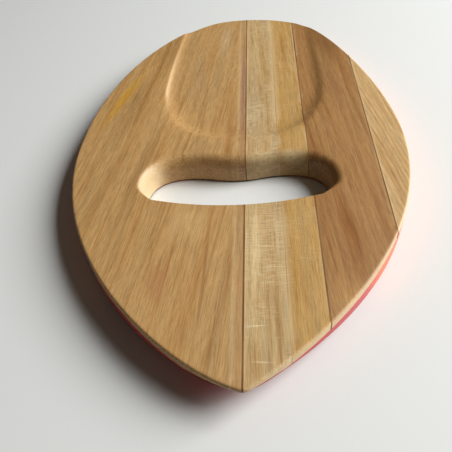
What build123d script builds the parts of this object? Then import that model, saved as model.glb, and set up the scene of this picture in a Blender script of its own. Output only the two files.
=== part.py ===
from build123d import *
from math import asin, atan2, cos, degrees, pi, radians, sin
import os

# A bodysurfing handplane: a small planing board that a swimmer wears under one hand.
# It is glued up from light hardwood staves that run from nose to tail. Four fingers go down
# through a slot ahead of the middle, and the palm lies in a shallow scoop that runs out
# through the tail. The underside and the lower rails are painted.
#
# Frame: the origin is on the resting plane, under the middle of the board's length and width.
# +X points to the right rail, +Y from the nose to the tail, +Z up out of the deck.
# Millimetres. "From the nose" distances run along +Y and start at the tip of the nose.

# ---------------------------------------------------------------- board
length = 332.0
width = 200.0
thickness = 18.0

# Plan outline. Each side is a bow curve from a small tip arc out to the widest point, and
# a hip curve back in to a wide tail arc. All of them meet in tangents. It was sawn by eye,
# so the tip and the tail lie right of the middle and the two sides differ a little.
nose_tip_radius = 5.0
nose_tip_offset = 4.7
widest_from_nose = 162.0
tail_radius = 90.0
tail_offset = 1.0

left_tip_turn = 15.5
left_bow_start_pull = 33.6
left_bow_end_pull = 90.8
left_hip_start_pull = 104.0
left_hip_end_pull = 27.7
left_tail_turn = 11.0

right_tip_turn = 34.0
right_bow_start_pull = 38.4
right_bow_end_pull = 87.1
right_hip_start_pull = 59.0
right_hip_end_pull = 26.0
right_tail_turn = 28.5

# Side profile: the underside is flat, and sweeps up to a thin nose and a thinner tail.
nose_sweep = 112.0
nose_edge = 4.0
tail_sweep = 45.0
tail_edge = 11.0

# Worked edges of the rail
deck_edge_radius = 1.2
keel_edge_radius = 2.2

# ---------------------------------------------------------------- finger slot
slot_near_from_nose = 104.0
slot_front_to_back = 38.0
slot_half_width = 54.0
slot_near_bow = 6.5
slot_corner_in = 7.0
slot_corner_lean = 35.0
slot_corner_pull = 5.0
slot_end_from_near = 20.0
slot_end_pull = 13.0
slot_knuckle_drop = 3.3
slot_lobe_out = 29.0
slot_lobe_pull = 17.0
slot_knuckle_pull = 13.0
lip_reach = 5.5
lip_depth = 7.0
slot_keel_radius = 1.2

# ---------------------------------------------------------------- palm scoop
scoop_start_from_nose = 164.0
scoop_half_width = 55.0
scoop_tail_half_width = 50.5
scoop_widest_from_nose = 228.0
scoop_depth = 3.9
scoop_tail_depth = 1.3
scoop_cove_run = 9.0
scoop_offset = 2.5
scoop_tail_offset = 6.0
scoop_front_pull = 43.0
scoop_side_pull = 34.0
scoop_hip_pull = 45.0

# ---------------------------------------------------------------- staves, from left to right
left_board_inner_x = 0.0
centre_strip_width = 4.8
pale_stave_width = 20.0
yellow_stave_width = 17.5
brown_board_width = 38.0

# ---------------------------------------------------------------- paint
paint_thickness = 0.4
paint_line_below_deck = 4.6
paint_up_slot_wall = 0.8

# How far cutting bodies run past what they cut, and the sections that shape a rounded edge or a cove
overrun = 10.0
round_sections = 5

nose_y = -length / 2
tail_y = length / 2
half_width = width / 2
up = Vector(0, 0, 1)


def along(from_nose):
    """The Y of a place that is given by its distance from the tip of the nose."""
    return nose_y + from_nose


# ---------------------------------------------------------------- plan and profile
def board_plan(inset):
    """The board seen from above, as a flat face that is set in all round by the inset."""
    tip_radius = nose_tip_radius - inset
    end_radius = tail_radius - inset
    tip_centre = Vector(nose_tip_offset, nose_y + nose_tip_radius)
    tail_centre = Vector(tail_offset, tail_y - tail_radius)

    def on_tip(turn):
        return tip_centre + Vector(sin(radians(turn)), -cos(radians(turn))) * tip_radius

    def on_tail(turn):
        return tail_centre + Vector(sin(radians(turn)), cos(radians(turn))) * end_radius

    def side_curves(sign, tip_turn, bow_start_pull, bow_end_pull, hip_start_pull, hip_end_pull, tail_turn):
        bow_heading = Vector(sign * cos(radians(tip_turn)), sin(radians(tip_turn)))
        tail_heading = Vector(sign * cos(radians(tail_turn)), -sin(radians(tail_turn)))
        bow_start = on_tip(sign * tip_turn)
        hip_end = on_tail(sign * tail_turn)
        widest = Vector(sign * (half_width - inset), along(widest_from_nose))
        Bezier(
            bow_start,
            bow_start + bow_heading * bow_start_pull,
            widest - Vector(0, bow_end_pull),
            widest,
        )
        Bezier(
            widest,
            widest + Vector(0, hip_start_pull),
            hip_end + tail_heading * hip_end_pull,
            hip_end,
        )

    with BuildSketch() as plan:
        with BuildLine():
            side_curves(
                -1,
                left_tip_turn,
                left_bow_start_pull,
                left_bow_end_pull,
                left_hip_start_pull,
                left_hip_end_pull,
                left_tail_turn,
            )
            side_curves(
                1,
                right_tip_turn,
                right_bow_start_pull,
                right_bow_end_pull,
                right_hip_start_pull,
                right_hip_end_pull,
                right_tail_turn,
            )
            ThreePointArc(on_tip(-left_tip_turn), on_tip(0), on_tip(right_tip_turn))
            ThreePointArc(on_tail(-left_tail_turn), on_tail(0), on_tail(right_tail_turn))
        make_face()
    return plan.sketch


def sweep_radius(run, rise):
    """Radius of the arc that leaves the flat in a tangent and rises by rise over run."""
    return (run**2 + rise**2) / (2 * rise)


def side_slab(inset):
    """A slab wider than the board that has the board's side profile, less the inset underneath."""
    roof = thickness + overrun
    flat_start = along(nose_sweep)
    flat_end = tail_y - tail_sweep
    nose_radius = sweep_radius(nose_sweep, thickness - nose_edge)
    tail_bend = sweep_radius(tail_sweep, thickness - tail_edge)
    nose_angle = degrees(asin((nose_sweep + overrun) / nose_radius))
    tail_angle = degrees(asin((tail_sweep + overrun) / tail_bend))
    with BuildSketch(Plane.YZ) as profile:
        with BuildLine():
            nose_arc = CenterArc((flat_start, nose_radius), nose_radius - inset, 270 - nose_angle, nose_angle)
            tail_arc = CenterArc((flat_end, tail_bend), tail_bend - inset, 270, tail_angle)
            Line(nose_arc @ 1, tail_arc @ 0)
            Polyline(
                tail_arc @ 1,
                ((tail_arc @ 1).X, roof),
                ((nose_arc @ 0).X, roof),
                nose_arc @ 0,
            )
        make_face()
    return extrude(profile.sketch, amount=half_width + overrun, both=True)


# ---------------------------------------------------------------- slot and scoop
def slot_plan(grow, lip, height):
    """The finger slot at one height: a bowed near side, and a far side with a knuckle in its middle.

    Grow widens it all round. Lip pushes out only its ends and its far side.
    """
    near = Vector(0, along(slot_near_from_nose) - grow)
    far = Vector(0, along(slot_near_from_nose) + slot_front_to_back + grow + lip)
    corner = Vector(slot_half_width - slot_corner_in + grow, near.Y + slot_near_bow)
    end = Vector(slot_half_width + grow + lip, near.Y + grow + slot_end_from_near)
    lobe = Vector(slot_lobe_out, far.Y + slot_knuckle_drop)
    corner_heading = Vector(cos(radians(slot_corner_lean)), sin(radians(slot_corner_lean)))
    with BuildSketch(Plane.XY.offset(height)) as plan:
        with BuildLine():
            Bezier(near, Vector(corner.X / 2, near.Y), corner)
            Bezier(corner, corner + corner_heading * slot_corner_pull, end - Vector(0, slot_corner_pull), end)
            Bezier(end, end + Vector(0, slot_end_pull), lobe + Vector(slot_lobe_pull, 0), lobe)
            Bezier(lobe, lobe - Vector(slot_knuckle_pull, 0), far + Vector(slot_knuckle_pull, 0), far)
            mirror(about=Plane.YZ)
        make_face()
    return plan.sketch


def scoop_plan(inset, height):
    """The palm scoop at one height: a round front, nearly straight sides, and an open tail.

    Its middle leans to the right on the way from the widest place to the tail.
    """
    front = Vector(scoop_offset, along(scoop_start_from_nose) + inset)

    def side_of(sign):
        return Vector(scoop_offset + sign * (scoop_half_width - inset), along(scoop_widest_from_nose))

    def mouth_of(sign):
        return Vector(scoop_tail_offset + sign * (scoop_tail_half_width - inset), tail_y + overrun)

    with BuildSketch(Plane.XY.offset(height)) as plan:
        with BuildLine():
            for sign in (-1, 1):
                side = side_of(sign)
                mouth = mouth_of(sign)
                front_pull = Vector(sign * scoop_front_pull, 0)
                Bezier(front, front + front_pull, side - Vector(0, scoop_side_pull), side)
                Bezier(side, side + Vector(0, scoop_hip_pull), mouth)
            Line(mouth_of(-1), mouth_of(1))
        make_face()
    return plan.sketch


def quarter_turn():
    """Angles from 0 to a right angle that place the sections of a rounded edge or a cove."""
    return [pi / 2 * step / (round_sections - 1) for step in range(round_sections)]


def slot_cutters(inset):
    """The space of the slot: a straight shaft, a soft lip above, and an eased edge underneath.

    The inset sets the walls and the underside back by the paint's thickness.
    """
    shaft = extrude(slot_plan(inset, 0, -overrun), amount=thickness + 2 * overrun, dir=up)
    lip_foot = thickness - lip_depth
    lip = [
        slot_plan(inset, lip_reach * (1 - cos(angle)), lip_foot + lip_depth * sin(angle))
        for angle in quarter_turn()
    ]
    eased = slot_keel_radius - inset
    keel = [
        slot_plan(inset + eased * (1 - cos(angle)), 0, slot_keel_radius - eased * sin(angle))
        for angle in reversed(quarter_turn())
    ]
    return [shaft, loft(lip), loft(keel)]


def scoop_cutters():
    """The space of the palm scoop: a crisp crest at the deck that eases into a flat floor.

    It is tipped about the deck at its front, so that it grows shallow towards the tail.
    """
    sections = [
        scoop_plan(scoop_cove_run * (1 - cos(angle)), thickness - scoop_depth * sin(angle))
        for angle in reversed(quarter_turn())
    ]
    front_y = along(scoop_start_from_nose)
    tip = degrees(atan2(scoop_depth - scoop_tail_depth, tail_y - front_y))
    pivot = Pos(0, front_y, thickness)
    return [pivot * Rot(tip, 0, 0) * pivot.inverse() * loft(sections)]


# ---------------------------------------------------------------- the worked board
def keel_edges(solid):
    """The curved edges that run round the underside, where it meets the rail."""
    below = thickness - nose_edge / 2
    return [edge for edge in solid.edges() if edge.geom_type != GeomType.LINE and edge.center().Z < below]


def board_form(inset):
    """The board without its scoop, or the same form set in below and at its walls by the inset."""
    form = extrude(board_plan(inset), amount=thickness) & side_slab(inset)
    form = fillet(keel_edges(form), keel_edge_radius - inset)
    for cutter in slot_cutters(inset):
        form -= cutter
    return form


def glued_blank():
    """The finished board as one body, before it is told apart into its staves."""
    board = board_form(0)
    deck_rim = max(board.faces().filter_by(Plane.XY), key=lambda face: face.center().Z).outer_wire()
    board = fillet(deck_rim.edges(), deck_edge_radius)
    for cutter in scoop_cutters():
        board -= cutter
    return board


# ---------------------------------------------------------------- paint and staves
def painted_region():
    """All the space below the paint line, which drops to a low line inside the slot."""
    line = thickness - paint_line_below_deck
    room = width + length
    below = extrude(Rectangle(room, room), amount=line)
    slot_room = Rectangle(2 * slot_half_width + overrun, slot_front_to_back + overrun)
    slot_middle = along(slot_near_from_nose) + slot_front_to_back / 2 + slot_knuckle_drop / 2
    bare_walls = extrude(Pos(0, slot_middle, paint_up_slot_wall) * slot_room, amount=thickness)
    return below - bare_walls


def paint_coat():
    """A thin even skin on the underside, the lower rails and the slot's lower edge."""
    skin = board_form(0) - board_form(paint_thickness)
    return skin & painted_region()


def stave_bands():
    """Each stave's name and the band of X that it fills, from the left rail to the right one."""
    edges = [-half_width - overrun, left_board_inner_x]
    for stave_width in (centre_strip_width, pale_stave_width, yellow_stave_width, brown_board_width):
        edges.append(edges[-1] + stave_width)
    edges.append(half_width + overrun)
    names = ["left_board", "centre_strip", "pale_stave", "yellow_stave", "brown_board", "right_edge_stave"]
    return list(zip(names, edges, edges[1:]))


def cut_staves(wood):
    """The staves by name. One that the slot cuts right across comes out as a nose and a tail piece."""
    staves = {}
    for name, low, high in stave_bands():
        outline = Pos((low + high) / 2, 0) * Rectangle(high - low, length + overrun)
        band = extrude(outline, amount=thickness + overrun)
        pieces = (wood & band).solids().sort_by(Axis.Y)
        if len(pieces) == 1:
            staves[name] = pieces[0]
        else:
            staves[name + "_nose"], staves[name + "_tail"] = pieces
    return staves


def build():
    """Write one STEP file for each stave piece, and one for the paint."""
    os.makedirs("parts", exist_ok=True)
    coat = paint_coat()
    nodes = cut_staves(glued_blank() - coat)
    nodes["bottom_paint"] = coat
    for name, solid in nodes.items():
        export_step(solid, f"parts/{name}.step")
        print(f"{name}: {solid.volume / 1000:.1f} cm3")


build()
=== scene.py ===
# %% [markdown]
# # A bodysurfing handplane, finished in Blender
# A handplane is a small planing board that a swimmer wears under one hand. This one is glued up from light
# hardwood staves, with a finger slot, a palm scoop and a painted underside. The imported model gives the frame
# that everything is built in: metres, +X to the right rail, +Y from nose to tail, +Z up out of the deck.

# %% Load the frame
import math
import bmesh
import bpy
import numpy as np
from mathutils import Matrix, Vector
from mathutils.geometry import delaunay_2d_cdt
from mathutils.kdtree import KDTree


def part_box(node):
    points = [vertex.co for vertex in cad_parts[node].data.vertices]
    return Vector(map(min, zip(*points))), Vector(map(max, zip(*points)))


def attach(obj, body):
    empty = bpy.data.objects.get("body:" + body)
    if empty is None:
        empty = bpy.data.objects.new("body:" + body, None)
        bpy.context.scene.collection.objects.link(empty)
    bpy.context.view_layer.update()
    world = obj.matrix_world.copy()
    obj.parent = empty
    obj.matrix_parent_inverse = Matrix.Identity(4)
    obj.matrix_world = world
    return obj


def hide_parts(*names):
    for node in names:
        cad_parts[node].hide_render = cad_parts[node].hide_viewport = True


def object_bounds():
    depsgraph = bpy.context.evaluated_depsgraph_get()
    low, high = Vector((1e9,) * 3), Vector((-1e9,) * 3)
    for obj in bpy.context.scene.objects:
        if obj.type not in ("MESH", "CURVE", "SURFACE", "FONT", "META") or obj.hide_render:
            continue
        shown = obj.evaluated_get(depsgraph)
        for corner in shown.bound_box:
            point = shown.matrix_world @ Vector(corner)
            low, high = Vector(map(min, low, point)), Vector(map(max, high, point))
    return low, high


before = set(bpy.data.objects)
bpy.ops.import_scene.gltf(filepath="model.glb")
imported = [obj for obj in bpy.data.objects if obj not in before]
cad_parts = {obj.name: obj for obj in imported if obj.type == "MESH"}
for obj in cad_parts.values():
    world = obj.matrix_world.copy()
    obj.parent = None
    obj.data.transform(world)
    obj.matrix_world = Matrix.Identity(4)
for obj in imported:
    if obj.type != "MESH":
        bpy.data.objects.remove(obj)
cad_low, cad_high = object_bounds()
scene = bpy.context.scene
MM = 0.001
LENGTH = (cad_high.y - cad_low.y) / MM
HALF_WIDTH = (cad_high.x - cad_low.x) / 2 / MM
THICKNESS = cad_high.z / MM
print(f"board: {LENGTH:.1f} x {2 * HALF_WIDTH:.1f} x {THICKNESS:.1f} mm, nodes:", *sorted(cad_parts))


# %% [markdown]
# ## Two helpers for the whole lesson
# Colours are written as the sRGB hex values that a paint chart would give, and Blender's sockets want them
# linear. Every node, in a material or in a shape, is added by one small function that also links it up.

# %% Colours and nodes
def linear(hex_colour):
    """An sRGB hex colour as linear RGBA."""
    parts = [int(hex_colour[k:k + 2], 16) / 255 for k in (1, 3, 5)]
    return tuple(c / 12.92 if c <= 0.04045 else ((c + 0.055) / 1.055) ** 2.4 for c in parts) + (1.0,)


def add(tree, kind, inputs=None, **settings):
    """Adds a node. An input is a value, another node, whose first output is used, or one output of a node."""
    node = tree.nodes.new(kind)
    for name, value in settings.items():
        setattr(node, name, value)
    for socket, value in (inputs or {}).items():
        if isinstance(value, bpy.types.Node):
            value = value.outputs[0]
        if isinstance(value, bpy.types.NodeSocket):
            tree.links.new(value, node.inputs[socket])
        else:
            node.inputs[socket].default_value = value
    return node


print("the tan board as linear:", [round(c, 3) for c in linear("#C09A68")])


# %% [markdown]
# ## The lines of the board
# A board maker first pencils three lines on the glued panel: the rim, the finger slot and the crest of the
# palm scoop. They could be drawn as curve objects by hand, but they follow the frame's own measurements, so
# they are written as short arcs and Bezier runs, in millimetres, with Y counted from the tip of the nose.

# %% Pencil the lines
def bezier(*points, count=60):
    """Points along a Bezier run, without the last one."""
    t = np.linspace(0, 1, count, endpoint=False)[:, None]
    n = len(points) - 1
    return sum(
        math.comb(n, k) * (1 - t) ** (n - k) * t ** k * np.array(p, float) for k, p in enumerate(points))


def turned(centre, radius, degrees):
    """Points on a circle, by their angles from straight ahead to the nose."""
    a = np.radians(np.atleast_1d(degrees))
    return np.array(centre, float) + radius * np.column_stack([np.sin(a), -np.cos(a)])


def evenly(points, step, closed=True):
    """The same line with its points a step apart."""
    ring = np.vstack([points, points[:1]]) if closed else points
    run = np.concatenate([[0], np.cumsum(np.hypot(*np.diff(ring, axis=0).T))])
    at = np.linspace(0, run[-1], round(run[-1] / step), endpoint=not closed)
    return np.column_stack([np.interp(at, run, ring[:, k]) for k in (0, 1)])


TIP_RADIUS, TAIL_RADIUS, WIDEST = 5, 90, 162
TIP, TAIL = np.array([4.7, TIP_RADIUS]), np.array([1.0, LENGTH - TAIL_RADIUS])


def rim_side(sign, tip_turn, bow_start, bow_end, hip_start, hip_end, tail_turn):
    """One side of the rim, from the tip arc round the bow and the hip to the tail arc."""
    a, b = math.radians(tip_turn), math.radians(tail_turn)
    tip = turned(TIP, TIP_RADIUS, np.linspace(0, sign * tip_turn, 8))
    tail = turned(TAIL, TAIL_RADIUS, 180 - np.linspace(sign * tail_turn, 0, 20))
    widest = np.array([sign * HALF_WIDTH, WIDEST])
    leave, arrive = tip[-1], tail[0]
    off_tip = leave + bow_start * np.array([sign * math.cos(a), math.sin(a)])
    onto_tail = arrive + hip_end * np.array([sign * math.cos(b), -math.sin(b)])
    bow = bezier(leave, off_tip, widest - (0, bow_end), widest, count=160)
    hip = bezier(widest, widest + (0, hip_start), onto_tail, arrive, count=160)
    return np.vstack([tip[:-1], bow, hip, tail])


right_rim = rim_side(1, 34, 38.4, 87.1, 59, 26, 28.5)
left_rim = rim_side(-1, 15.5, 33.6, 90.8, 104, 27.7, 11)
rim = evenly(np.vstack([right_rim, left_rim[::-1][1:-1]]), 1.0)

# the right half of the slot: the middles of its near and far edges, its near corner, its end and its lobe
SLOT_POINTS = (0, 104), (0, 142), (47, 110.5), (54, 124), (29, 145.3)
near, far, corner, end, lobe = (np.array(p, float) for p in SLOT_POINTS)
lean = 5 * np.array([math.cos(math.radians(35)), math.sin(math.radians(35))])
half_slot = np.vstack([
    bezier(near, (23.5, 104), corner),
    bezier(corner, corner + lean, end - (0, 5), end),
    bezier(end, end + (0, 13), lobe + (17, 0), lobe),
    bezier(lobe, lobe - (13, 0), far + (13, 0), far),
    far[None],
])
slot = evenly(np.vstack([half_slot, half_slot[::-1][1:-1] * (-1, 1)]), 0.7)

SCOOP_FRONT, SCOOP_DEPTH, SCOOP_TAIL_DEPTH, COVE = 164.0, 3.9, 1.3, 9.0
crest_sides = []
for sign in (-1, 1):
    front = np.array([2.5, SCOOP_FRONT])
    side = np.array([2.5 + sign * 55, 228])
    mouth = np.array([6 + sign * 50.5, LENGTH + 10])
    bend = bezier(front, front + (sign * 43, 0), side - (0, 34), side)
    run = np.vstack([bend, bezier(side, side + (0, 45), mouth), mouth[None]])
    share = np.interp(run[:, 1], (SCOOP_FRONT, LENGTH), (0, 1 - SCOOP_TAIL_DEPTH / SCOOP_DEPTH))
    run[:, 0] -= sign * COVE * (1 - np.sqrt(1 - share ** 2))
    crest_sides.append(run)
crest = evenly(np.vstack([crest_sides[0][::-1], crest_sides[1][1:]]), 1.0, closed=False)
print("points on the rim, slot and crest:", len(rim), len(slot), len(crest))


# %% [markdown]
# ## The blank
# The real blank is a flat panel, sawn to the rim with the slot cut through. Here it is two flat sheets of
# triangles, deck and underside, joined by walls. A plain grid would cut across the edges. So rows of points
# run beside each line, closest where the surface will bend most, and a constrained Delaunay fills between
# them. It stays flat for now, and each point only notes which layer it belongs to.

# %% Rows beside a line
def set_in(points, distance, closed=True):
    """A line moved to its left, which on an anticlockwise line is inwards."""
    step = np.roll(points, -1, 0) - np.roll(points, 1, 0)
    if not closed:
        step[0], step[-1] = points[1] - points[0], points[-1] - points[-2]
    step /= np.hypot(*step.T)[:, None]
    return points + distance * np.column_stack([-step[:, 1], step[:, 0]])


def inside(points, ring):
    """Which points lie inside a closed line."""
    x, y = points[:, 0, None], points[:, 1, None]
    a, b = ring, np.roll(ring, -1, 0)
    rise = np.where(b[:, 1] == a[:, 1], 1e-9, b[:, 1] - a[:, 1])
    crosses = (a[:, 1] > y) != (b[:, 1] > y)
    return (crosses & (x < a[:, 0] + (y - a[:, 1]) * (b[:, 0] - a[:, 0]) / rise)).sum(1) % 2 == 1


def sheet_of(outer, hole, rows, spacing):
    """Flat triangles between two lines: the points, the faces, and where each line's own points went."""
    loose = np.vstack(rows)
    finder = KDTree(len(loose))
    for k, p in enumerate(loose):
        finder.insert((*p, 0), k)
    finder.balance()
    columns, lines = np.arange(-HALF_WIDTH, HALF_WIDTH, spacing), np.arange(0, LENGTH, spacing)
    grid = np.stack(np.meshgrid(columns, lines), -1).reshape(-1, 2)
    grid = np.array([p for p in grid if finder.find((*p, 0))[2] > spacing * 0.6])
    loose = np.vstack([loose, grid])
    loose = loose[inside(loose, set_in(outer, 0.06)) & ~inside(loose, set_in(hole, -0.06))]
    n, m = len(outer), len(hole)
    edges = [(k, (k + 1) % n) for k in range(n)] + [(n + k, n + (k + 1) % m) for k in range(m)]
    everything = [Vector(p) for p in np.vstack([outer, hole, loose])]
    found, _, faces, origin, _, _ = delaunay_2d_cdt(everything, edges, [], 0, 1e-6)
    found = np.array([tuple(v) for v in found])
    went = {old: new for new, olds in enumerate(origin) for old in olds}
    middles = found[np.array(faces)].mean(1)
    wanted = inside(middles, outer) & ~inside(middles, hole)
    return found, [f for f, w in zip(faces, wanted) if w], [went[k] for k in range(n)], [
        went[n + k] for k in range(m)]


COAT, PAINT_UP_SLOT = 0.4, 0.8
deck_rows = [set_in(rim, d) for d in (0.12, 0.3, 0.55, 0.85, 1.2, 2.0)]
deck_rows += [set_in(slot, -d) for d in (0.1, 0.25, 0.5, 0.8, 1.2, 1.7, 2.3, 3.0, 3.8, 4.7, 5.6, 7.0)]
deck_rows += [
    set_in(crest, d, closed=False)
    for d in (-3, -1.8, -1, -0.5, 0, 0.5, 1, 1.7, 2.6, 3.7, 5, 6.5, 8, 9.5, 12)]
low_rim, low_slot = set_in(rim, COAT), set_in(slot, -COAT)
keel_rows = [set_in(rim, COAT + d) for d in (0.2, 0.5, 0.9, 1.35, 1.8)]
keel_rows += [set_in(slot, -COAT - d) for d in (0.2, 0.5, 0.8)]
deck = sheet_of(rim, slot, deck_rows, 2.6)
under = sheet_of(low_rim, low_slot, keel_rows, 5.0)
print("triangles on the deck and the underside:", len(deck[1]), len(under[1]))

# %% Join the sheets into a blank
UNDERSIDE, DECK, STEP = 0, 1, 2
points, layers, steps = [], [], []


def put(flat, layer, step=0.0):
    """Adds a layer's points, and returns the number of the first."""
    first = len(points)
    points.extend((x * MM, (y - LENGTH / 2) * MM, 0.0) for x, y in flat)
    layers.extend([layer] * len(flat))
    steps.extend([step * MM] * len(flat))
    return first


top, low = put(deck[0], DECK), put(under[0], UNDERSIDE)
faces = [tuple(top + k for k in f) for f in deck[1]] + [
    tuple(low + k for k in reversed(f)) for f in under[1]]
paint_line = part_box("bottom_paint")[1].z / MM
for upper, lower, full, back, step in (
        (deck[2], under[2], rim, low_rim, paint_line),
        (deck[3], under[3], slot, low_slot, PAINT_UP_SLOT)):
    outer, inner = put(full, STEP, step), put(back, STEP, step)
    turn = -1 if full is slot else 1
    for k in range(len(full)):
        j = (k + 1) % len(full)
        levels = [
            (top + upper[k], top + upper[j]), (outer + k, outer + j),
            (inner + k, inner + j), (low + lower[k], low + lower[j])]
        faces += [(b[0], b[1], a[1], a[0])[::turn] for a, b in zip(levels, levels[1:])]
blank_mesh = bpy.data.meshes.new("blank")
blank_mesh.from_pydata(points, [], faces)
plan = np.array(points)[:, :2] / MM + (0, LENGTH / 2)
for name, values in (("layer", layers), ("step", steps), ("in_scoop", inside(plan, crest))):
    blank_mesh.attributes.new(name, "FLOAT", "POINT").data.foreach_set(
        "value", np.array(values, np.float32))
blank = bpy.data.objects.new("blank", blank_mesh)
scene.collection.objects.link(blank)


def guide(name, line, closed=True):
    """A pencil line as an object, for a node tree to measure from."""
    n = len(line)
    mesh = bpy.data.meshes.new(name)
    places = [(x * MM, (y - LENGTH / 2) * MM, 0) for x, y in line]
    mesh.from_pydata(places, [(k, (k + 1) % n) for k in range(n if closed else n - 1)], [])
    made = bpy.data.objects.new(name, mesh)
    scene.collection.objects.link(made)
    return made


guides = {
    "Rim": guide("rim_guide", rim),
    "Slot": guide("slot_guide", slot),
    "Crest": guide("crest_guide", crest, closed=False),
}
print("blank:", len(points), "points and", len(faces), "faces")


# %% [markdown]
# ## Working the blank with Geometry Nodes
# The maker planes the underside up to the nose and tail, eases the rims, rasps a lip into the slot and scoops
# the palm rest. Each cut is one rule: so much depth at so much distance from a pencil line. A sculpt would
# do it once, but a node tree keeps every rule as a named size, so this is a Geometry Nodes tree. One
# small group, the rounding of an edge, serves the rim, the keel, the lip and both sweeps.

# %% Trees, and a group that rounds off
def geometry_tree(name, inputs, output="Geometry", kind="Geometry"):
    """An empty Geometry Nodes tree: its inputs' names and kinds, and its one output."""
    tree = bpy.data.node_groups.new(name, "GeometryNodeTree")
    for socket, its_kind in inputs.items():
        tree.interface.new_socket(socket, in_out="INPUT", socket_type="NodeSocket" + its_kind)
    tree.interface.new_socket(output, in_out="OUTPUT", socket_type="NodeSocket" + kind)
    return tree


def run_tree(tree, source, inputs):
    """The mesh that a tree makes of an object, which is then removed."""
    modifier = source.modifiers.new(tree.name, "NODES")
    modifier.node_group = tree
    inlets = {item.name: item.identifier for item in tree.interface.items_tree if item.in_out == "INPUT"}
    for name, value in inputs.items():
        modifier[inlets[name]] = value
    bpy.context.view_layer.update()
    made = bpy.data.meshes.new_from_object(source.evaluated_get(bpy.context.evaluated_depsgraph_get()))
    source.modifiers.clear()
    bpy.data.objects.remove(source)
    return made


SMOOTH = {"interpolation_type": "SMOOTHSTEP"}
round_off = geometry_tree("Round off", {"Nearness": "Float", "Size": "Float"}, "Fall", "Float")
given = add(round_off, "NodeGroupInput").outputs
kept = add(round_off, "ShaderNodeMath", {0: given["Nearness"], 1: 0.0}, operation="ADD", use_clamp=True)
squared = add(round_off, "ShaderNodeMath", {0: kept, 1: kept}, operation="MULTIPLY")
rest = add(round_off, "ShaderNodeMath", {0: 1.0, 1: squared}, operation="SUBTRACT")
root = add(round_off, "ShaderNodeMath", {0: rest}, operation="SQRT")
share = add(round_off, "ShaderNodeMath", {0: 1.0, 1: root}, operation="SUBTRACT")
fall = add(round_off, "ShaderNodeMath", {0: share, 1: given["Size"]}, operation="MULTIPLY")
add(round_off, "NodeGroupOutput", {"Fall": fall})
print("group:", round_off.name, "with", len(round_off.nodes), "nodes")

# %% The tree and its named sizes
NOSE_SWEEP, NOSE_RISE, TAIL_SWEEP, TAIL_RISE = 112, 14, 45, 7


def arc_radius(run, rise):
    """The radius of an arc that rises so much over so long a run."""
    return (run ** 2 + rise ** 2) / (2 * rise)


SIZES = {
    "Thickness": THICKNESS, "Deck edge": 1.2, "Keel edge": 1.8, "Slot keel": 0.8, "Coat": COAT,
    "Nose flat": NOSE_SWEEP - LENGTH / 2, "Nose arc": arc_radius(NOSE_SWEEP, NOSE_RISE),
    "Tail flat": LENGTH / 2 - TAIL_SWEEP, "Tail arc": arc_radius(TAIL_SWEEP, TAIL_RISE),
    "Lip start": 111 - LENGTH / 2, "Lip run": 13, "Lip reach": 5.5, "Lip depth": 7, "Slot ease": 0.5,
    "Scoop front": SCOOP_FRONT - LENGTH / 2, "Scoop tail": LENGTH / 2,
    "Scoop depth": SCOOP_DEPTH, "Scoop tail depth": SCOOP_TAIL_DEPTH,
    "Cove": COVE, "Crisp crest": 0.35, "Soft crest": 2.6, "Hand wobble": 0.12,
}
inputs = {"Geometry": "Geometry", **dict.fromkeys(guides, "Object"), **dict.fromkeys(SIZES, "Float")}
work = geometry_tree("Work the blank", inputs)
size = add(work, "NodeGroupInput").outputs
place = add(work, "GeometryNodeInputPosition")
at = add(work, "ShaderNodeSeparateXYZ", {0: place}).outputs
measured = {}
for name in guides:
    line = add(work, "GeometryNodeObjectInfo", {"Object": size[name]}).outputs["Geometry"]
    measured[name] = add(work, "GeometryNodeProximity", {0: line}, target_element="EDGES").outputs
print("named sizes:", len(SIZES))

# %% Rims, lip and underside
slot_at = add(work, "ShaderNodeSeparateXYZ", {0: measured["Slot"]["Position"]}).outputs
lip_end = add(work, "ShaderNodeMath", {0: size["Lip start"], 1: size["Lip run"]}, operation="ADD")
lip_share = add(work, "ShaderNodeMapRange", {
    "Value": slot_at["Y"], "From Min": size["Lip start"], "From Max": lip_end}, **SMOOTH)
# the lip narrows to half its reach round the slot's left end
LEFT_END, FULL_LIP = -56 * MM, -42 * MM
left_end = add(work, "ShaderNodeMapRange", {
    "Value": slot_at["X"], "From Min": LEFT_END, "From Max": FULL_LIP, "To Min": 0.5})
narrowed = add(work, "ShaderNodeMath", {0: lip_share, 1: left_end}, operation="MULTIPLY")
lip_reach = add(work, "ShaderNodeMath", {
    0: narrowed, 1: size["Lip reach"], 2: size["Slot ease"]}, operation="MULTIPLY_ADD")
lip_depth = add(work, "ShaderNodeMath", {
    0: lip_share, 1: size["Lip depth"], 2: size["Slot ease"]}, operation="MULTIPLY_ADD")
rounded = {}
for edge, line, start, reach, amount in (
        ("rim", "Rim", 0.0, size["Deck edge"], size["Deck edge"]),
        ("lip", "Slot", 0.0, lip_reach, lip_depth),
        ("keel", "Rim", size["Coat"], size["Keel edge"], size["Keel edge"]),
        ("slot foot", "Slot", size["Coat"], size["Slot keel"], size["Slot keel"])):
    gap = add(work, "ShaderNodeMath", {0: measured[line]["Distance"], 1: start}, operation="SUBTRACT")
    over = add(work, "ShaderNodeMath", {0: gap, 1: reach}, operation="DIVIDE")
    near = add(work, "ShaderNodeMath", {0: 1.0, 1: over}, operation="SUBTRACT")
    rounded[edge] = add(work, "GeometryNodeGroup", {"Nearness": near, "Size": amount}, node_tree=round_off)
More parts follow.
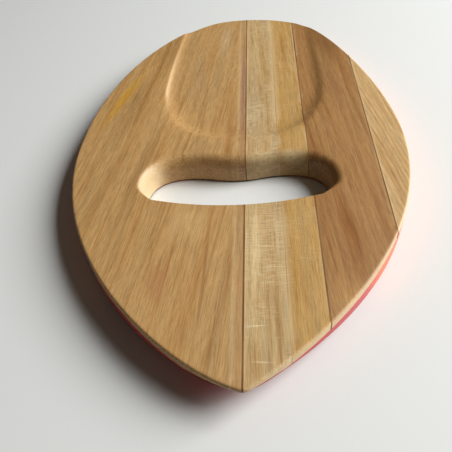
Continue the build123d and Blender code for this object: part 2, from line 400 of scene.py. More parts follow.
for end, ahead, behind, arc in (
        ("nose", size["Nose flat"], at["Y"], size["Nose arc"]),
        ("tail", at["Y"], size["Tail flat"], size["Tail arc"])):
    past = add(work, "ShaderNodeMath", {0: ahead, 1: behind}, operation="SUBTRACT")
    over = add(work, "ShaderNodeMath", {0: past, 1: arc}, operation="DIVIDE")
    rounded[end] = add(work, "GeometryNodeGroup", {"Nearness": over, "Size": arc}, node_tree=round_off)
print("edges rounded off:", *rounded)

# %% The palm scoop
in_scoop = add(work, "GeometryNodeInputNamedAttribute", {"Name": "in_scoop"}, data_type="FLOAT")
side_sign = add(work, "ShaderNodeMath", {0: in_scoop, 1: 2.0, 2: -1.0}, operation="MULTIPLY_ADD")
depth_in = add(work, "ShaderNodeMath", {
    0: measured["Crest"]["Distance"], 1: side_sign}, operation="MULTIPLY")
crest_at = add(work, "ShaderNodeSeparateXYZ", {0: measured["Crest"]["Position"]}).outputs
# the crest is crisp along its left side only: it softens to the right, and round the front
soft_right, soft_front = (
    add(work, "ShaderNodeMapRange", {
        "Value": crest_at[axis], "From Min": crisp * MM, "From Max": soft * MM}, **SMOOTH)
    for axis, crisp, soft in (("X", -46, -22), ("Y", 58, 28)))
soft_share = add(work, "ShaderNodeMath", {0: soft_right, 1: soft_front}, operation="MAXIMUM")
softness = add(work, "ShaderNodeMapRange", {
    "Value": soft_share, "To Min": size["Crisp crest"], "To Max": size["Soft crest"]})
# round the front the cove runs further, and the power makes every cove steepest at its crest
FRONT_COVE, COVE_POWER = 1.8, 3.2
front_cove = add(work, "ShaderNodeMath", {0: size["Cove"], 1: FRONT_COVE}, operation="MULTIPLY")
cove_run = add(work, "ShaderNodeMapRange", {
    "Value": soft_front, "To Min": size["Cove"], "To Max": front_cove})
soft_squared = add(work, "ShaderNodeMath", {0: softness, 1: softness}, operation="MULTIPLY")
hypotenuse = add(work, "ShaderNodeMath", {
    0: depth_in, 1: depth_in, 2: soft_squared}, operation="MULTIPLY_ADD")
long_side = add(work, "ShaderNodeMath", {0: hypotenuse}, operation="SQRT")
eased = add(work, "ShaderNodeMath", {0: depth_in, 1: long_side}, operation="ADD")
cove_over = add(work, "ShaderNodeMath", {0: eased, 1: cove_run}, operation="DIVIDE")
cove_share = add(work, "ShaderNodeMath", {0: cove_over, 1: 0.5}, operation="MULTIPLY", use_clamp=True)
cove_left = add(work, "ShaderNodeMath", {0: 1.0, 1: cove_share}, operation="SUBTRACT")
cove_curve = add(work, "ShaderNodeMath", {0: cove_left, 1: COVE_POWER}, operation="POWER")
cove_fall = add(work, "ShaderNodeMath", {0: 1.0, 1: cove_curve}, operation="SUBTRACT")
floor_depth = add(work, "ShaderNodeMapRange", {
    "Value": at["Y"], "From Min": size["Scoop front"], "From Max": size["Scoop tail"],
    "To Min": size["Scoop depth"], "To Max": size["Scoop tail depth"]})
scoop_fall = add(work, "ShaderNodeMath", {0: cove_fall, 1: floor_depth}, operation="MULTIPLY")
print("scoop:", SCOOP_DEPTH, "mm deep at the front,", SCOOP_TAIL_DEPTH, "mm at the tail")

# %% Put the heights together
hand = add(work, "ShaderNodeTexNoise", {"Vector": place, "Scale": 30.0, "Detail": 1.0})
hand_fall = add(work, "ShaderNodeMath", {0: hand, 1: size["Hand wobble"]}, operation="MULTIPLY")
deck_z, under_z = size["Thickness"], size["Coat"]
for fall in (rounded["rim"], rounded["lip"], scoop_fall, hand_fall):
    deck_z = add(work, "ShaderNodeMath", {0: deck_z, 1: fall}, operation="SUBTRACT")
for rise in ("keel", "slot foot", "nose", "tail"):
    under_z = add(work, "ShaderNodeMath", {0: under_z, 1: rounded[rise]}, operation="ADD")
# where the wood steps in behind the paint, the step stays this far above the underside
STEP_CLEAR = 0.05 * MM
step_line = add(work, "GeometryNodeInputNamedAttribute", {"Name": "step"}, data_type="FLOAT")
above = add(work, "ShaderNodeMath", {0: under_z, 1: STEP_CLEAR}, operation="ADD")
step_z = add(work, "ShaderNodeMath", {0: step_line, 1: above}, operation="MAXIMUM")
layer = add(work, "GeometryNodeInputNamedAttribute", {"Name": "layer"}, data_type="FLOAT")
choice = add(work, "GeometryNodeIndexSwitch", data_type="FLOAT")
choice.index_switch_items.new()
for socket, source in (("Index", layer), ("0", under_z), ("1", deck_z), ("2", step_z)):
    work.links.new(source.outputs[0], choice.inputs[socket])
worked_place = add(work, "ShaderNodeCombineXYZ", {"X": at["X"], "Y": at["Y"], "Z": choice})
moved = add(work, "GeometryNodeSetPosition", {"Geometry": size["Geometry"], "Position": worked_place})
real = add(work, "GeometryNodeRealizeInstances", {0: moved})
# bare wood for now: each stave gets its own finish when it has been sawn off
skin = add(work, "GeometryNodeSetMaterial", {"Geometry": real})
add(work, "NodeGroupOutput", {"Geometry": skin})
print("tree:", work.name, "with", len(work.nodes), "nodes")

# %% Apply the tree
worked = run_tree(work, blank, {**guides, **{name: size_mm * MM for name, size_mm in SIZES.items()}})
for line in guides.values():
    bpy.data.objects.remove(line)
heights = [v.co.z / MM for v in worked.vertices]
print(f"worked board: {len(worked.polygons)} faces, {min(heights):.2f} to {max(heights):.2f} mm high")


# %% [markdown]
# ## Sawing the board into its staves
# The real staves were glued first and shaped together, so their faces flow across each joint. The same order
# works here: the worked board is cut at each glue line with a plane, and each cut face is filled. Three
# staves are cut right through by the slot, so each of them gives a nose piece and a tail piece.

# %% Saw
SHARP_ANGLE = math.radians(38)


def sawn(name, planes):
    """The part of the worked board behind every plane, as a closed mesh."""
    bm = bmesh.new()
    bm.from_mesh(worked)
    for point, normal in planes:
        whole = bm.verts[:] + bm.edges[:] + bm.faces[:]
        cut = bmesh.ops.bisect_plane(
            bm, geom=whole, dist=1e-8, plane_co=point, plane_no=normal, clear_outer=True)
        rim_edges = [e for e in cut["geom_cut"] if isinstance(e, bmesh.types.BMEdge)]
        if rim_edges:
            bmesh.ops.triangle_fill(bm, edges=rim_edges, use_beauty=True, normal=normal)
    bmesh.ops.recalc_face_normals(bm, faces=bm.faces[:])
    open_edges = sum(not e.is_manifold for e in bm.edges)
    mesh = bpy.data.meshes.new(name)
    bm.to_mesh(mesh)
    volume = bm.calc_volume()
    bm.free()
    for attribute in ("layer", "step", "in_scoop"):
        mesh.attributes.remove(mesh.attributes[attribute])
    mesh.polygons.foreach_set("use_smooth", [True] * len(mesh.polygons))
    mesh.set_sharp_from_angle(angle=SHARP_ANGLE)
    print(f"{name}: {len(mesh.polygons)} faces, {volume * 1e6:.1f} cm3, {open_edges} open edges")
    return mesh


def piece(name, mesh, material, *stands_for, slot=None):
    """A finished piece on the board, standing for CAD nodes where it takes their place."""
    made = bpy.data.objects.new(name, mesh)
    scene.collection.objects.link(made)
    mesh.materials.clear()
    mesh.materials.append(material)
    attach(made, "root")
    if stands_for:
        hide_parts(*stands_for)


LEFT_OF_JOINTS = "left_board", "centre_strip_tail", "pale_stave_tail", "yellow_stave_tail", "brown_board"
JOINTS = [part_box(name)[1].x for name in LEFT_OF_JOINTS]
slot_middle = (123 - LENGTH / 2) * MM
stave_ends = {"_nose": (0, 1, 0), "_tail": (0, -1, 0)}
stave_meshes = {}
WHOLE, CUT = [""], list(stave_ends)
STAVES = {
    "left_board": WHOLE, "centre_strip": CUT, "pale_stave": CUT, "yellow_stave": CUT,
    "brown_board": WHOLE, "right_edge_stave": WHOLE}
for (name, ends), low_x, high_x in zip(STAVES.items(), [None, *JOINTS], [*JOINTS, None]):
    for which in ends:
        planes = [((x, 0, 0), (side, 0, 0)) for x, side in ((low_x, -1), (high_x, 1)) if x is not None]
        if which:
            planes.append(((0, slot_middle, 0), stave_ends[which]))
        stave_meshes[name + which] = sawn("worked_" + name + which, planes)


# %% [markdown]
# ## The glue lines
# Where two staves meet, the real board shows a film of glue as a fine dark line that runs over the deck, down
# the lip and along the scoop. A painted line would stop at the surface. So a node tree takes the joint's own
# cut face and gives it the film's width, with its edges a hair proud, as glue stands once wood has dried.

# %% The film tree
numbers = dict.fromkeys(("Joint", "Width", "Proud"), "Float")
film = geometry_tree("Glue film", {"Geometry": "Geometry", **numbers, "Material": "Material"})
given = add(film, "NodeGroupInput").outputs
where = add(film, "GeometryNodeInputPosition")
across = add(film, "ShaderNodeSeparateXYZ", {0: where})
off = add(film, "ShaderNodeMath", {0: across.outputs["X"], 1: given["Joint"]}, operation="SUBTRACT")
distance = add(film, "ShaderNodeMath", {0: off}, operation="ABSOLUTE")
elsewhere = add(film, "FunctionNodeCompare", {
    0: distance, 1: 1e-6}, data_type="FLOAT", operation="GREATER_THAN")
cut_face = add(film, "GeometryNodeDeleteGeometry", {
    "Geometry": given["Geometry"], "Selection": elsewhere}, domain="FACE")
half = add(film, "ShaderNodeMath", {0: given["Width"], 1: -0.5}, operation="MULTIPLY")
shift = add(film, "ShaderNodeCombineXYZ", {"X": half})
near_face = add(film, "GeometryNodeSetPosition", {"Geometry": cut_face, "Offset": shift})
across_film = add(film, "ShaderNodeCombineXYZ", {"X": given["Width"]})
walls = add(film, "GeometryNodeExtrudeMesh", {
    "Mesh": near_face, "Offset": across_film, "Individual": False}, mode="FACES")
back_face = add(film, "GeometryNodeFlipFaces", {0: near_face})
both = add(film, "GeometryNodeJoinGeometry")
film.links.new(walls.outputs["Mesh"], both.inputs[0])
film.links.new(back_face.outputs[0], both.inputs[0])
closed = add(film, "GeometryNodeMergeByDistance", {"Geometry": both, "Distance": 1e-6})
outward = add(film, "GeometryNodeInputNormal")
in_plane = add(film, "ShaderNodeVectorMath", {0: outward, 1: (0, 1, 1)}, operation="MULTIPLY")
unit = add(film, "ShaderNodeVectorMath", {0: in_plane}, operation="NORMALIZE")
proud = add(film, "ShaderNodeVectorMath", {0: unit, "Scale": given["Proud"]}, operation="SCALE")
raised = add(film, "GeometryNodeSetPosition", {"Geometry": closed, "Offset": proud})
real = add(film, "GeometryNodeRealizeInstances", {0: raised})
coated = add(film, "GeometryNodeSetMaterial", {"Geometry": real, "Material": given["Material"]})
add(film, "NodeGroupOutput", {0: coated})
print("film tree:", len(film.nodes), "nodes")


# %% [markdown]
# ## Wood that is solid all through
# The staves are light plantation hardwood, sanded and wiped with oil. Wood isn't a skin: a ring that shows as
# a long line on the deck turns into an arc on the lip, where the cut crosses the grain. So the material is
# worked out in three dimensions from Object coordinates, in real millimetres: growth rings round a far-off
# pith line, fine fibres along the grain, pores, broad warm and dull bands, and local marks by their places.

# %% The wood material
def solid_wood(name, early, late, warm, dull, ring, pith, lean, band, contrast, flecks=0.0, marks=()):
    """Oiled hardwood. Ring and band are widths in mm, pith is the trunk's middle, lean the grain's slant."""
    material = bpy.data.materials.new(name)
    material.use_nodes = True
    tree = material.node_tree
    tree.nodes.clear()
    here = add(tree, "ShaderNodeTexCoord").outputs["Object"]
    mm = add(tree, "ShaderNodeMapping", {
        "Vector": here, "Scale": (1000, 1000, 1000), "Rotation": (0, 0, math.radians(lean))})
    slowly = add(tree, "ShaderNodeMapping", {"Vector": mm, "Scale": (0.022, 0.005, 0.022)})
    slow = add(tree, "ShaderNodeTexNoise", {"Vector": slowly, "Scale": 1.0, "Detail": 2.0})
    drift = add(tree, "ShaderNodeVectorMath", {
        0: slow.outputs["Color"], 1: (12, 0, 12), 2: (-pith[0] - 6, 0, -pith[1] - 6)},
        operation="MULTIPLY_ADD")
    bent = add(tree, "ShaderNodeVectorMath", {0: mm, 1: drift}, operation="ADD")
    # noise stretched along the grain: broad bands, fibres about 0.5 mm wide and 10 mm long with finer ones
    # between them, streaks 2 or 3 mm wide and about 90 mm long, and thin ones among those
    grades = []
    for scale, detail, roughness in (
            ((1 / band, 0.045 / band, 1 / band), 3.0, 0.55),
            ((2.2, 0.1, 2.2), 4.0, 0.75),
            ((1 / 2.6, 1 / 90, 1 / 2.6), 2.0, 0.5),
            ((1 / 0.7, 1 / 24, 1 / 0.7), 2.0, 0.5)):
        drawn = add(tree, "ShaderNodeMapping", {"Vector": bent, "Scale": scale})
        grades.append(add(tree, "ShaderNodeTexNoise", {
            "Vector": drawn, "Scale": 1.0, "Detail": detail, "Roughness": roughness}))
    bands, fibres, broad_streaks, thin_streaks = grades
    # growth rings: darker latewood towards the end of each year, and no two years alike
    flat = add(tree, "ShaderNodeVectorMath", {0: bent, 1: (1, 0, 1)}, operation="MULTIPLY")
    radius = add(tree, "ShaderNodeVectorMath", {0: flat}, operation="LENGTH").outputs["Value"]
    years = add(tree, "ShaderNodeMath", {0: radius, 1: ring}, operation="DIVIDE")
    season = add(tree, "ShaderNodeMath", {0: years}, operation="FRACT")
    year = add(tree, "ShaderNodeMath", {0: years}, operation="FLOOR")
    darken = add(tree, "ShaderNodeMapRange", {"Value": season, "From Min": 0.1, "From Max": 0.9}, **SMOOTH)
    stop = add(tree, "ShaderNodeMapRange", {
        "Value": season, "From Min": 0.9, "From Max": 1.0, "To Min": 1.0, "To Max": 0.0}, **SMOOTH)
    late_amount = add(tree, "ShaderNodeMath", {0: darken, 1: stop}, operation="MULTIPLY")
    chance = add(tree, "ShaderNodeTexWhiteNoise", {"W": year}, noise_dimensions="1D").outputs["Value"]
    strength = add(tree, "ShaderNodeMapRange", {
        "Value": chance, "To Min": 0.1 * contrast, "To Max": 1.6 * contrast})
    ringed = add(tree, "ShaderNodeMath", {0: late_amount, 1: strength}, operation="MULTIPLY")
    colour = add(tree, "ShaderNodeMix", {
        0: ringed, 6: linear(early), 7: linear(late)}, data_type="RGBA").outputs[2]
    # the broad bands are warmer wood, and duller wood between them
    layers = []
    for low, high, tint, most in ((0.50, 0.70, warm, 0.55), (0.48, 0.30, dull, 0.5)):
        amount = add(tree, "ShaderNodeMapRange", {
            "Value": bands, "From Min": low, "From Max": high, "To Max": most}, **SMOOTH)
        layers.append((amount, tint))
    # local marks, each a soft spot at a place, with its radii in mm and its turn
    for x, from_nose, z, radii, turn, tint, most in marks:
        centre = (x * MM, (from_nose - LENGTH / 2) * MM, z * MM)
        spun = add(tree, "ShaderNodeMapping", {
            "Vector": here, "Location": centre, "Rotation": (0, 0, math.radians(turn)),
            "Scale": tuple(r * MM for r in radii)}, vector_type="TEXTURE")
        reach = add(tree, "ShaderNodeVectorMath", {0: spun}, operation="LENGTH").outputs["Value"]
        ragged = add(tree, "ShaderNodeMath", {0: slow, 1: 0.8, 2: reach}, operation="MULTIPLY_ADD")
        amount = add(tree, "ShaderNodeMapRange", {
            "Value": ragged, "From Min": 0.5, "From Max": 1.4, "To Min": most, "To Max": 0.0}, **SMOOTH)
        layers.append((amount, tint))
    for amount, tint in layers:
        colour = add(tree, "ShaderNodeMix", {
            0: amount, 6: colour, 7: linear(tint)}, data_type="RGBA").outputs[2]
    # real fibres are finer: these are as coarse as they must be to show
    shade = add(tree, "ShaderNodeMapRange", {
        "Value": fibres, "From Min": 0.25, "From Max": 0.75, "To Min": 0.66, "To Max": 1.42})
    colour = add(tree, "ShaderNodeVectorMath", {0: colour, "Scale": shade}, operation="SCALE").outputs[0]
    # the streaks are a warm brown
    for streaks, low, most in ((broad_streaks, 0.5, 0.55), (thin_streaks, 0.52, 0.6)):
        amount = add(tree, "ShaderNodeMapRange", {
            "Value": streaks, "From Min": low, "From Max": 0.72, "To Max": most}, **SMOOTH)
        browned = add(tree, "ShaderNodeVectorMath", {
            0: colour, 1: (0.74, 0.62, 0.45)}, operation="MULTIPLY")
        colour = add(tree, "ShaderNodeMix", {0: amount, 6: colour, 7: browned}, data_type="RGBA").outputs[2]
    tints = []
    # rays: pale silk flecks that cross the grain, 6 mm wide and 0.7 mm long
    if flecks:
        crosswise = add(tree, "ShaderNodeMapping", {"Vector": mm, "Scale": (0.16, 1.1, 0.5)})
        rays = add(tree, "ShaderNodeTexNoise", {"Vector": crosswise, "Scale": 1.0, "Detail": 2.0})
        patchy = add(tree, "ShaderNodeTexNoise", {"Vector": mm, "Scale": 0.035, "Detail": 1.0})
        both = add(tree, "ShaderNodeMath", {0: rays, 1: patchy}, operation="MULTIPLY")
        silk = add(tree, "ShaderNodeMapRange", {
            "Value": both, "From Min": 0.30, "From Max": 0.40, "To Max": flecks}, **SMOOTH)
        tints.append((silk, "#E6CFA4"))
    # pores: vessels cut lengthwise into short dashes, drawn wider than life so that they show
    drawn = add(tree, "ShaderNodeMapping", {"Vector": bent, "Scale": (1.1, 0.16, 1.1)})
    cells = add(tree, "ShaderNodeTexVoronoi", {"Vector": drawn, "Scale": 1.0}).outputs["Distance"]
    pores = add(tree, "ShaderNodeMapRange", {
        "Value": cells, "From Min": 0.12, "From Max": 0.24, "To Min": 0.28, "To Max": 0.0})
    for amount, tint in tints + [(pores, "#86602F")]:
        colour = add(tree, "ShaderNodeMix", {
            0: amount, 6: colour, 7: linear(tint)}, data_type="RGBA").outputs[2]
    # sanded ends of the grain drink the oil and go darker, with pale torn specks
    surface = add(tree, "ShaderNodeNewGeometry").outputs
    normal = add(tree, "ShaderNodeSeparateXYZ", {0: surface["Normal"]}).outputs
    end_on = add(tree, "ShaderNodeMath", {0: normal["Y"]}, operation="ABSOLUTE")
    thirsty = add(tree, "ShaderNodeMapRange", {
        "Value": end_on, "From Min": 0.5, "From Max": 1.0, "To Min": 1.0, "To Max": 0.8})
    colour = add(tree, "ShaderNodeVectorMath", {0: colour, "Scale": thirsty}, operation="SCALE").outputs[0]
    grains = add(tree, "ShaderNodeTexNoise", {"Vector": mm, "Scale": 0.9, "Detail": 2.0})
    fuzz = add(tree, "ShaderNodeMapRange", {
        "Value": grains, "From Min": 0.55, "From Max": 0.66, "To Max": 0.5})
    sloping = add(tree, "ShaderNodeMapRange", {"Value": end_on, "From Min": 0.3, "From Max": 0.6}, **SMOOTH)
    torn = add(tree, "ShaderNodeMath", {0: fuzz, 1: sloping}, operation="MULTIPLY")
    # painted light: faces turned to the right, towards the window, are mixed towards a pale cream, and
    # handling has worn the edges pale
    painted_window_light = add(tree, "ShaderNodeMapRange", {
        "Value": normal["X"], "From Min": 0.3, "From Max": 0.8, "To Max": 0.5}, **SMOOTH)
    worn = add(tree, "ShaderNodeMapRange", {
        "Value": surface["Pointiness"], "From Min": 0.52, "From Max": 0.60, "To Max": 0.35})
    for amount, tint in ((torn, "#CBAA74"), (painted_window_light, "#F0DCB6"), (worn, "#E2C79A")):
        colour = add(tree, "ShaderNodeMix", {
            0: amount, 6: colour, 7: linear(tint)}, data_type="RGBA").outputs[2]
    # oil dries satin: hard dark fibres shine a little more, and pores sink below them
    rough = add(tree, "ShaderNodeMapRange", {"Value": fibres, "To Min": 0.62, "To Max": 0.46})
    height = add(tree, "ShaderNodeMath", {0: pores, 1: -0.8, 2: fibres}, operation="MULTIPLY_ADD")
    bump = add(tree, "ShaderNodeBump", {"Strength": 0.35, "Distance": 0.00015, "Height": height})
    shader = add(tree, "ShaderNodeBsdfPrincipled", {
        "Base Color": colour, "Roughness": rough, "IOR": 1.5, "Normal": bump})
    add(tree, "ShaderNodeOutputMaterial", {"Surface": shader})
    print(name, "has", len(tree.nodes), "nodes")
    return material


# %% [markdown]
# ## A finish for each stave
# No two of the staves came from the same plank, and that is what the eye picks out: tan, plum, straw, golden,
# brown and a close-ringed rail. Most of the marks are what a woodworker would point at on this board; the
# broad dark patch towards the tail of the brown board is partly painted shade. They could be painted on an
# image, but as soft spots in space they also carry round the lip and into the scoop.

# %% The marks of each stave
# a mark is its x, its distance from the nose and its height, its three radii, all in mm, its turn in
# degrees, its colour, and how strongly it shows
MARKS = {
    "left_board": [
        (-81, 216, 18, (7, 52, 20), -15, "#C08E2A", 0.9),  # golden streak beside the left rail
        (-36, 54, 18, (9, 18, 20), 0, "#A9704A", 0.5),  # reddish patch at the bow
        (-30, 245, 18, (9, 50, 20), 4, "#B0926A", 0.5),
        (-14, 61, 18, (1.6, 44, 20), -2, "#8E5C30", 0.6),
        (-5, 165, 18, (3.5, 75, 30), 0, "#9C6A38", 0.5),
        (-2, 60, 18, (2.2, 40, 20), 0, "#A5743E", 0.5),
        (-24, 190, 18, (2, 60, 20), -2, "#9C6E3C", 0.4),
        (-52, 285, 18, (18, 55, 20), -8, "#96703E", 0.5),
        (-72, 205, 18, (14, 60, 20), -10, "#96703E", 0.4),
        (-12, 300, 18, (9, 40, 20), 0, "#C2A882", 0.5),
        (-25, 92, 18, (14, 20, 20), 0, "#D8B27C", 0.4),
        (-60, 120, 18, (4, 50, 20), -6, "#8F6636", 0.4),
        (-78, 110, 18, (4, 60, 20), -9, "#8F6636", 0.4),
        (-42, 145, 8, (1.3, 2, 1.6), 0, "#5A3A1E", 0.9),  # pin knot on the slot's far wall
    ],
    "centre_strip": [
        (2.8, 235, 18, (2.0, 100, 30), 0, "#92675C", 0.8),  # plum heart, towards the tail
        (4.6, 60, 18, (1.0, 90, 30), 0, "#84582C", 0.6),
        (1.6, 55, 18, (1.2, 60, 20), 0, "#B99058", 0.5),
    ],
    "pale_stave": [
        (10.2, 146.5, 13, (0.9, 5, 5), 0, "#E9D5AE", 0.8),  # torn fibres on the lip
        (18, 145, 15, (9, 6, 6), 0, "#E2C898", 0.5),
        (9, 12, 18, (7, 20, 20), 0, "#A87E48", 0.5),
        (10, 29, 18, (8, 0.7, 5), 2, "#E9D5AE", 0.7),  # this and the next four are single silk rays
        (13, 12, 18, (7, 0.6, 5), -3, "#E9D5AE", 0.6),
        (17, 52, 18, (8, 0.6, 5), 1, "#E9D5AE", 0.6),
        (19, 61, 18, (8, 0.7, 5), 0, "#E9D5AE", 0.7),
        (15, 74, 18, (9, 0.7, 5), -2, "#E9D5AE", 0.6),
        (16, 219, 18, (9, 0.5, 5), 2, "#8C6A44", 0.5),
        (10, 70, 18, (5, 60, 20), 0, "#DCC290", 0.6),
        (20, 30, 18, (2.5, 40, 20), 1, "#A47C48", 0.6),
    ],
    "yellow_stave": [
        (33, 145, 15, (11, 7, 7), 0, "#EFD6A4", 0.85),  # pale end grain on the lip
        (40.5, 290, 18, (0.8, 45, 20), 0, "#7C5228", 0.7),
        (28, 50, 18, (2.5, 40, 20), 0, "#A87C34", 0.6),
        (33, 270, 18, (3, 60, 20), 0, "#A87430", 0.5),
    ],
    "brown_board": [
        (58, 85, 18, (9, 36, 20), 6, "#8E5A24", 0.8),  # dark red patch beside the slot
        # partly darker wood, partly painted shade: this patch also stands in for the shade beside the scoop's
        # right wall and the light falling off towards the tail
        (66, 280, 18, (11, 62, 20), 6, "#7C5429", 0.85),
        (66, 215, 18, (7, 50, 20), 4, "#8F5F38", 0.5),
        (60, 78, 18, (0.9, 30, 20), 3, "#6E4420", 0.6),
        (52, 42, 18, (12, 24, 20), 0, "#BC9058", 0.6),
        (42.5, 60, 18, (1.6, 70, 20), 0, "#7C4E26", 0.6),  # stained by the glue line, and the next
        (42.5, 240, 18, (1.2, 100, 30), 0, "#7C4E26", 0.5),
        (50, 200, 18, (2, 60, 20), 0, "#B88A50", 0.4),
    ],
}
print("marks:", {stave: len(marks) for stave, marks in MARKS.items()})

# %% The finishes
finishes = {
    # even tan wood with faint rings: a calm field over half the board
    "left_board": solid_wood(
        "oiled_tan_hardwood", "#BB935E", "#A57B48", "#B18148", "#A6855A",
        4.0, (-260, -90), 7, band=8, contrast=0.35, marks=MARKS["left_board"]),
    # a strip of heartwood, close-ringed: it reads as one dull red-brown line by the middle
    "centre_strip": solid_wood(
        "oiled_plum_hardwood", "#B68E5C", "#9E7548", "#A67A4C", "#A58560",
        2.5, (60, -200), 1, band=3, contrast=0.5, marks=MARKS["centre_strip"]),
    # the lightest wood, with silk rays that cross the grain and catch the light
    "pale_stave": solid_wood(
        "oiled_straw_hardwood", "#C1A375", "#AD8E5D", "#B9925B", "#A78E6B",
        5.0, (110, -150), -1, band=6, contrast=0.4, flecks=0.3, marks=MARKS["pale_stave"]),
    # a yellower plank that glows where the oil has soaked in
    "yellow_stave": solid_wood(
        "oiled_golden_hardwood", "#BB9459", "#A57E43", "#B58843", "#AB8C5D",
        5.0, (150, -110), -2, band=6, contrast=0.5, flecks=0.12, marks=MARKS["yellow_stave"]),
    # the darkest plank: it weights the right side of the board
    "brown_board": solid_wood(
        "oiled_brown_hardwood", "#A57A48", "#8C6237", "#936231", "#9D7A51",
        4.0, (210, -100), -5, band=8, contrast=0.55, marks=MARKS["brown_board"]),
    # slow-grown wood, with rings under 2 mm apart: fine straight lines that run out at the rail
    "right_edge_stave": solid_wood(
        "oiled_rail_hardwood", "#C9A674", "#AA824C", "#B88F5A", "#B4976E",
        1.7, (190, -60), -8, band=5, contrast=0.5),
}


# %% [markdown]
# ## Glue and enamel
# The glue is a brown waterproof resin. It reads as a line that comes and goes, so its colour drifts between
# the wood's and its own. The underside is brushed marine enamel, satin to gloss and red, with faint brush drag
# along the board that breaks up its highlights. It runs to orange amidships, which is painted light: the
# orange stands in for the window's glare on the paint there. Round the foot of the slot it is darkened to near
# black, which is painted shade for the shadow under the slot's walls.

# %% Glue
# cured resin, sanded along with the wood: satin, and a darker line where the film is thick
glue = bpy.data.materials.new("brown_resin_glue")
glue.use_nodes = True
tree = glue.node_tree
tree.nodes.clear()
here = add(tree, "ShaderNodeTexCoord").outputs["Object"]
along_line = add(tree, "ShaderNodeMapping", {"Vector": here, "Scale": (60, 28, 60)})
run_out = add(tree, "ShaderNodeTexNoise", {"Vector": along_line, "Scale": 1.0, "Detail": 3.0})
shows = add(tree, "ShaderNodeMapRange", {"Value": run_out, "From Min": 0.38, "From Max": 0.62})
tone = add(tree, "ShaderNodeMix", {0: shows, 6: linear("#94693A"), 7: linear("#74491F")}, data_type="RGBA")
shader = add(tree, "ShaderNodeBsdfPrincipled", {
    "Base Color": tone.outputs[2], "Roughness": 0.5, "IOR": 1.5})
add(tree, "ShaderNodeOutputMaterial", {"Surface": shader})
# the same resin in a thin joint between pale staves, where it shows as a light line
clear_glue = glue.copy()
clear_glue.name = "clear_resin_glue"
for clear in [n for n in clear_glue.node_tree.nodes if n.bl_idname == "ShaderNodeMix"]:
    clear.inputs[6].default_value = linear("#B38C5A")
    clear.inputs[7].default_value = linear("#CDAF7C")
print(glue.name, "and", clear_glue.name)

# %% Enamel
# two coats by brush over the bare wood: saturated colour, and a soft reflection broken by the brush drag
RED_UNTIL, ORANGE_FROM = -112 * MM, -88 * MM
enamel = bpy.data.materials.new("brushed_marine_enamel")
enamel.use_nodes = True
tree = enamel.node_tree
tree.nodes.clear()
here = add(tree, "ShaderNodeTexCoord").outputs["Object"]
along = add(tree, "ShaderNodeSeparateXYZ", {0: here})
cloud = add(tree, "ShaderNodeTexNoise", {"Vector": here, "Scale": 14.0, "Detail": 2.0})
uneven = add(tree, "ShaderNodeMath", {0: cloud, 1: 0.02, 2: along.outputs["Y"]}, operation="MULTIPLY_ADD")
# painted light: the shift from red at the nose to orange amidships stands in for the window's glare on the
# paint
painted_glare_share = add(tree, "ShaderNodeMapRange", {
    "Value": uneven, "From Min": RED_UNTIL, "From Max": ORANGE_FROM}, **SMOOTH)
tone = add(tree, "ShaderNodeMix", {
    0: painted_glare_share, 6: linear("#C2242C"), 7: linear("#EA6422")}, data_type="RGBA")
# painted shade: the paint round the foot of the slot is darkened to near black, for the shadow under the
# slot's walls
slot_shade_box = add(tree, "ShaderNodeMapping", {
    "Vector": here, "Location": (0, -0.043, 0.001), "Scale": (0.058, 0.026, 0.004)}, vector_type="TEXTURE")
from_slot_shade = add(tree, "ShaderNodeVectorMath", {0: slot_shade_box}, operation="LENGTH")
painted_slot_shade = add(tree, "ShaderNodeMapRange", {
    "Value": from_slot_shade.outputs["Value"], "From Min": 1.0, "From Max": 1.25, "To Min": 0.92, "To Max": 0.0})
tone = add(tree, "ShaderNodeMix", {0: painted_slot_shade, 6: tone.outputs[2], 7: linear("#2C1C12")}, data_type="RGBA")
brushed = add(tree, "ShaderNodeMapping", {"Vector": here, "Scale": (900, 30, 900)})
drag = add(tree, "ShaderNodeTexNoise", {"Vector": brushed, "Scale": 1.0, "Detail": 3.0})
drag_tone = add(tree, "ShaderNodeMapRange", {
    "Value": drag, "From Min": 0.3, "From Max": 0.7, "To Min": 0.9, "To Max": 1.08})
painted = add(tree, "ShaderNodeVectorMath", {0: tone.outputs[2], "Scale": drag_tone}, operation="SCALE")
rough = add(tree, "ShaderNodeMapRange", {"Value": cloud, "To Min": 0.32, "To Max": 0.5})
bump = add(tree, "ShaderNodeBump", {"Strength": 0.25, "Distance": 0.0001, "Height": drag})
shader = add(tree, "ShaderNodeBsdfPrincipled", {
    "Base Color": painted, "Roughness": rough, "IOR": 1.5, "Coat Weight": 0.1, "Coat Roughness": 0.15,
    "Normal": bump})
add(tree, "ShaderNodeOutputMaterial", {"Surface": shader})
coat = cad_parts["bottom_paint"]
coat.data.materials.clear()
coat.data.materials.append(enamel)
print("bottom_paint ->", enamel.name)

# %% Put the staves on the board
SLOT_NAMES = {
    "left_board": "tan_wood", "centre_strip": "plum_wood", "pale_stave": "straw_wood",
    "yellow_stave": "golden_wood", "brown_board": "brown_wood", "right_edge_stave": "rail_wood"}
for node, mesh in stave_meshes.items():
    stave = next(name for name in finishes if node.startswith(name))
    piece(mesh.name, mesh, finishes[stave], node, slot=SLOT_NAMES[stave])
    print(mesh.name, "->", finishes[stave].name)


# %% [markdown]
# ## Gluing up
# The film tree now runs once for each joint. A real film is about 0.2 mm thick. These are as wide as they
# need to be to show, and the joints that hardly show on the real board get the thinnest ones.

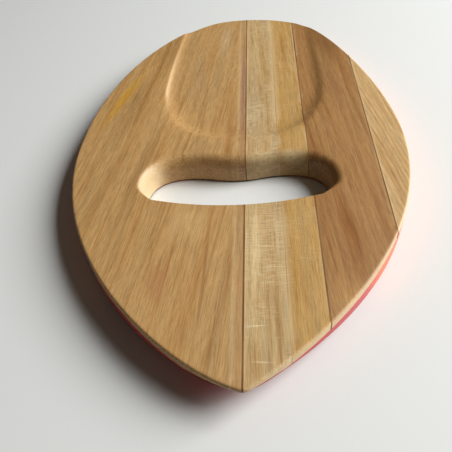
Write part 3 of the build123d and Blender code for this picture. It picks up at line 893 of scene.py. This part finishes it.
# %% Run the film along every joint
FILMS = {
    "glue_line_strip_left": (0.15, clear_glue),
    "glue_line_strip_right": (0.8, glue),
    "glue_line_pale": (0.35, clear_glue),
    "glue_line_yellow": (0.8, glue),
    "glue_line_rail": (0.7, glue),
}
PROUD = 0.03
for (name, (width, resin)), joint in zip(FILMS.items(), JOINTS):
    source = bpy.data.objects.new(name + "_source", sawn(name + "_side", [((joint, 0, 0), (1, 0, 0))]))
    scene.collection.objects.link(source)
    source.data.materials.clear()
    sizes = {"Joint": joint, "Width": width * MM, "Proud": PROUD * MM}
    film_mesh = run_tree(film, source, {**sizes, "Material": resin})
    film_mesh.name = name
    film_mesh.polygons.foreach_set("use_smooth", [False] * len(film_mesh.polygons))
    piece(name, film_mesh, resin)
    print(name, "is", len(film_mesh.polygons), "faces")


# %% [markdown]
# ## Floor, light and camera
# A plain pale floor throws light back under the rails. One large window on the right, a little behind the
# board, gives the low raking light that shows the scoop's crest, and the room gives only a little from the
# other sides, so the left rail stands over a dark soft shadow.

# %% Floor
floor_mesh = bpy.data.meshes.new("floor")
floor_mesh.from_pydata([(-3, -3, 0), (3, -3, 0), (3, 3, 0), (-3, 3, 0)], [], [(0, 1, 2, 3)])
floor = bpy.data.objects.new("floor", floor_mesh)
scene.collection.objects.link(floor)
pale = bpy.data.materials.new("matt_pale_floor")
pale.use_nodes = True
tree = pale.node_tree
tree.nodes.clear()
shader = add(tree, "ShaderNodeBsdfPrincipled", {
    "Base Color": linear("#DFE0DF"), "Roughness": 0.65, "IOR": 1.45})
add(tree, "ShaderNodeOutputMaterial", {"Surface": shader})
floor_mesh.materials.append(pale)
print("floor at z = 0")

# %% Light
scene.view_settings.view_transform = "Standard"
ROOM = 0.06
world = bpy.data.worlds.new("room")
world.use_nodes = True
room = world.node_tree.nodes["Background"].inputs
room["Color"].default_value = linear("#F0E2CC")
room["Strength"].default_value = ROOM
scene.world = world

window = bpy.data.lights.new("window_light", "AREA")
window.shape = "RECTANGLE"
window.size, window.size_y = 1.25, 1.25
window.energy = 74
window.color = linear("#FEFFFD")[:3]
lamp = bpy.data.objects.new("window_light", window)
scene.collection.objects.link(lamp)
lamp.location = (1.6, 0.3, 1.2)
lamp.rotation_mode = "QUATERNION"
lamp.rotation_quaternion = (-lamp.location).to_track_quat("-Z", "Y")
print(lamp.name, window.energy, "W, world", ROOM)

# %% Camera
AZIMUTH, ELEVATION, ROLL = (math.radians(a) for a in (6.89, 46.43, -6.78))
TARGET, DISTANCE = Vector((-0.00462, -0.07769, 0.018)), 0.25056
back = Vector(
    (math.sin(AZIMUTH) * math.cos(ELEVATION), -math.cos(AZIMUTH) * math.cos(ELEVATION), math.sin(ELEVATION))
)
level = (-back).cross(Vector((0, 0, 1))).normalized()
upward = level.cross(-back)
right = math.cos(ROLL) * level + math.sin(ROLL) * upward
above = -math.sin(ROLL) * level + math.cos(ROLL) * upward
camera = bpy.data.objects.new("camera", bpy.data.cameras.new("camera"))
scene.collection.objects.link(camera)
camera.data.sensor_width = 36
camera.data.lens = 38.8
camera.data.clip_start, camera.data.clip_end = 0.01, 20
camera.matrix_world = Matrix.Translation(TARGET + back * DISTANCE) @ Matrix(
    (right, above, back)).transposed().to_4x4()
scene.camera = camera
print("camera", [round(v, 3) for v in camera.location], "lens", camera.data.lens)


# %% [markdown]
# ## Size
# The looks may not change the board's size; the frame's box is printed at the end.

# %% Print the frame's box and finish
bpy.context.view_layer.update()
print("frame box ", [round(v, 5) for v in (*cad_low, *cad_high)])
